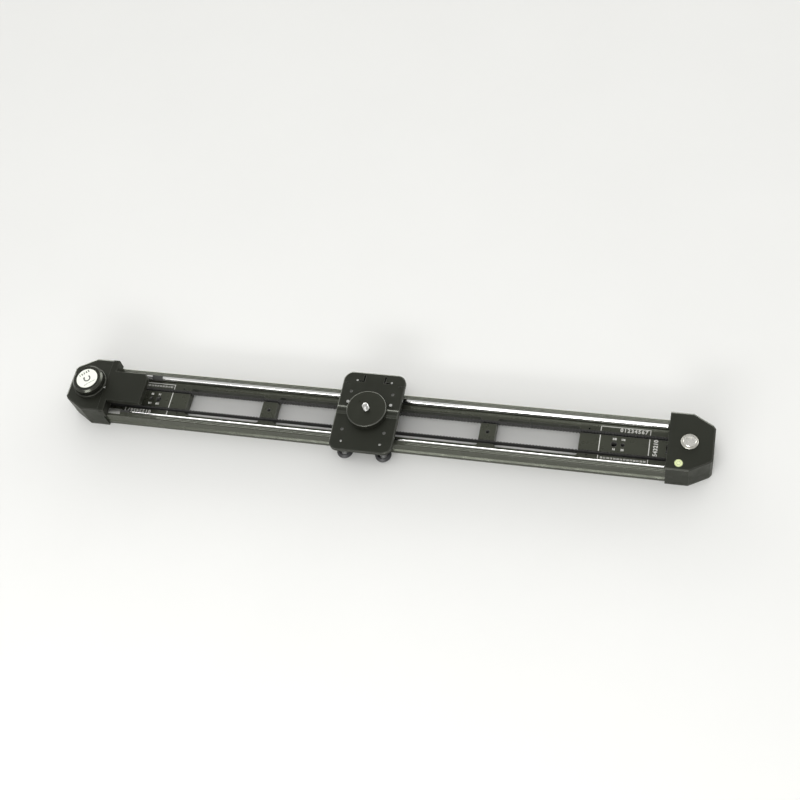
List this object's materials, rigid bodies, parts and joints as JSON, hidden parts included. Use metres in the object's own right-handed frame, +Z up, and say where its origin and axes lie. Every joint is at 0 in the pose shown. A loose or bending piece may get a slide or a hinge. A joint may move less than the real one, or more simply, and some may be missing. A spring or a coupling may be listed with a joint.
{
  "type": "camera slider",
  "caption": "Belt-driven camera slider: black aluminium rail with steel rods, rolling carriage with a camera stud, and a flywheel at one end.",
  "frame": {"origin": "under the middle of the rail, on the surface it stands on", "axes": "+X along the rail away from the flywheel, +Z up"},
  "size_m": [1.042, 0.1396, 0.067],
  "materials": {
    "black_anodised": "satin black anodised, lightly bead-blasted",
    "polished_steel": "polished",
    "bright_steel": "turned, semi-bright",
    "dark_steel": "black oxide",
    "bearing_steel": "ground",
    "plain_aluminium": "machined",
    "belt_rubber": "matte moulded rubber",
    "badge_white": "printed film",
    "level_liquid": "clear acrylic over tinted liquid",
    "clear_acrylic": "moulded acrylic",
    "grey_polymer": "moulded rubber-like plastic",
    "black_polymer": "machined acetal"
  },
  "bodies": {
    "rail": {"rail_extrusion": "black_anodised", "rod_rear": "polished_steel", "rod_front": "polished_steel", "rod_stops": "grey_polymer", "rod_collar": "bright_steel", "drive_belt": "belt_rubber", "right_end_housing": "black_anodised", "right_base_plate": "black_anodised", "right_base_screws": "dark_steel", "right_joint_bolts": "dark_steel", "idler_shoulder_bolt": "bright_steel", "idler_washer": "bright_steel", "idler_spacer": "plain_aluminium", "bubble_level_cup": "clear_acrylic", "bubble_level_vial": "level_liquid", "left_end_housing": "black_anodised", "left_base_plate": "black_anodised", "left_base_screws": "dark_steel", "left_joint_bolts": "dark_steel", "bridge_plate": "black_anodised", "bridge_screws": "dark_steel", "flywheel_base_ring": "black_anodised", "drag_screw": "bright_steel", "upper_drive_bearing": "bearing_steel", "lower_drive_bearing": "bearing_steel"},
    "flywheel_drive": {"drive_shaft": "polished_steel", "drive_pulley": "plain_aluminium", "pulley_set_screws": "dark_steel", "flywheel": "black_anodised", "flywheel_screw": "dark_steel", "flywheel_badge": "badge_white"},
    "idler": {"idler_pulley": "plain_aluminium", "idler_bearing_lower": "bearing_steel", "idler_bearing_upper": "bearing_steel"},
    "carriage": {"carriage_plate": "black_anodised", "mount_disc": "black_anodised", "disc_screws": "dark_steel", "camera_stud": "polished_steel", "belt_clamp_block": "black_anodised", "belt_clamp_jaw": "black_anodised", "clamp_screws": "bright_steel", "jaw_screws": "dark_steel", "shoe_screws": "bright_steel", "roller_axles": "bright_steel", "roller_sleeves": "plain_aluminium", "roller_nuts": "bright_steel", "preload_screws": "dark_steel", "rod_shoe_rear_left": "black_polymer", "rod_shoe_rear_right": "black_polymer", "rod_shoe_front_left": "black_polymer", "rod_shoe_front_right": "black_polymer"},
    "wheel_rear_left": {"roller_rear_left": "black_polymer", "roller_bearing_rear_left": "bearing_steel"},
    "wheel_rear_right": {"roller_rear_right": "black_polymer", "roller_bearing_rear_right": "bearing_steel"},
    "wheel_front_left": {"roller_front_left": "black_polymer", "roller_bearing_front_left": "bearing_steel"},
    "wheel_front_right": {"roller_front_right": "black_polymer", "roller_bearing_front_right": "bearing_steel"}
  },
  "joints": [
    {"name": "carriage_slide", "type": "slide", "parent": "rail", "child": "carriage", "axis": [1, 0, 0], "range_m": [-0.323, 0.41]},
    {"name": "flywheel_spin", "type": "hinge", "parent": "rail", "child": "flywheel_drive", "pos_m": [-0.485, 0, 0.0163], "axis": [0, 0, 1], "continuous": true},
    {"name": "idler_spin", "type": "hinge", "parent": "rail", "child": "idler", "pos_m": [0.485, 0, 0.0163], "axis": [0, 0, 1], "continuous": true},
    {"name": "rear_left_wheel_spin", "type": "hinge", "parent": "carriage", "child": "wheel_rear_left", "pos_m": [-0.0368, 0.055, 0.011], "axis": [0, 0, 1], "continuous": true},
    {"name": "rear_right_wheel_spin", "type": "hinge", "parent": "carriage", "child": "wheel_rear_right", "pos_m": [0.02, 0.055, 0.011], "axis": [0, 0, 1], "continuous": true},
    {"name": "front_left_wheel_spin", "type": "hinge", "parent": "carriage", "child": "wheel_front_left", "pos_m": [-0.0396, -0.055, 0.011], "axis": [0, 0, 1], "continuous": true},
    {"name": "front_right_wheel_spin", "type": "hinge", "parent": "carriage", "child": "wheel_front_right", "pos_m": [0.0228, -0.055, 0.011], "axis": [0, 0, 1], "continuous": true}
  ],
  "couplings": [
    {"joint": "flywheel_spin", "follows": "carriage_slide", "rad_per_m": -57.803},
    {"joint": "idler_spin", "follows": "carriage_slide", "rad_per_m": -57.803},
    {"joint": "rear_left_wheel_spin", "follows": "carriage_slide", "rad_per_m": -84.746},
    {"joint": "rear_right_wheel_spin", "follows": "carriage_slide", "rad_per_m": -84.746},
    {"joint": "front_left_wheel_spin", "follows": "carriage_slide", "rad_per_m": 84.746},
    {"joint": "front_right_wheel_spin", "follows": "carriage_slide", "rad_per_m": 84.746}
  ]
}
